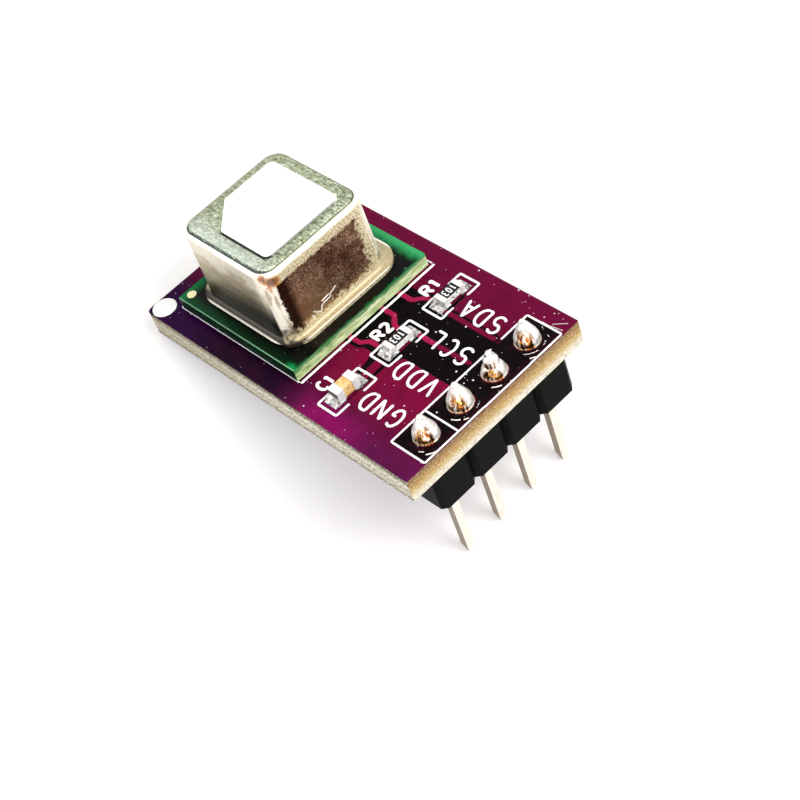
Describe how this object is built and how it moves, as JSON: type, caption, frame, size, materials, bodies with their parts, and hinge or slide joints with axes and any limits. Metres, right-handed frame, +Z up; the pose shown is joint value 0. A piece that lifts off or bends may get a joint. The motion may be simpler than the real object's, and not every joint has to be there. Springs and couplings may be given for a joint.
{
  "type": "temperature humidity sensor module",
  "caption": "Small purple circuit board with a metal-canned gas, temperature and humidity sensor, chip parts and a straight pin header under one end.",
  "frame": {"origin": "on the surface that the module rests on, under the middle of the whole module", "axes": "+X from the sensor end towards the header end, +Y towards the board's far long edge, +Z up. The module is in its rest pose: it stands on its pin tips and on the lower edge of the sensor end, so the board rises towards +X by 21.7 degrees"},
  "size_m": [0.0228, 0.0128, 0.0108],
  "materials": {
    "board_laminate": "satin",
    "green_laminate": "satin",
    "can_metal": "satin",
    "film": "matte",
    "header_plastic": "satin",
    "pin_metal": "polished",
    "solder": "polished",
    "copper": "polished",
    "end_cap_metal": "satin",
    "resistor_ceramic": "satin",
    "capacitor_ceramic": "satin",
    "package_plastic": "matte",
    "package_metal": "satin",
    "filter_glass": "polished"
  },
  "bodies": {
    "root": {"capacitor_body": "capacitor_ceramic", "capacitor_end_caps": "end_cap_metal", "capacitor_solder": "solder", "carrier_board": "board_laminate", "control_chip": "package_plastic", "gas_membrane": "film", "gas_microphone": "package_metal", "header_insulator": "header_plastic", "header_pin_1": "pin_metal", "header_pin_2": "pin_metal", "header_pin_3": "pin_metal", "header_pin_4": "pin_metal", "humidity_temperature_die": "package_plastic", "infrared_emitter": "package_plastic", "infrared_filter": "filter_glass", "pin_solder_1": "solder", "pin_solder_2": "solder", "pin_solder_3": "solder", "pin_solder_4": "solder", "plated_hole_1": "copper", "plated_hole_2": "copper", "plated_hole_3": "copper", "plated_hole_4": "copper", "resistor_1_body": "resistor_ceramic", "resistor_1_end_caps": "end_cap_metal", "resistor_1_solder": "solder", "resistor_2_body": "resistor_ceramic", "resistor_2_end_caps": "end_cap_metal", "resistor_2_solder": "solder", "sensor_board": "green_laminate", "sensor_can": "can_metal", "sensor_solder_joints": "solder"}
  },
  "joints": []
}
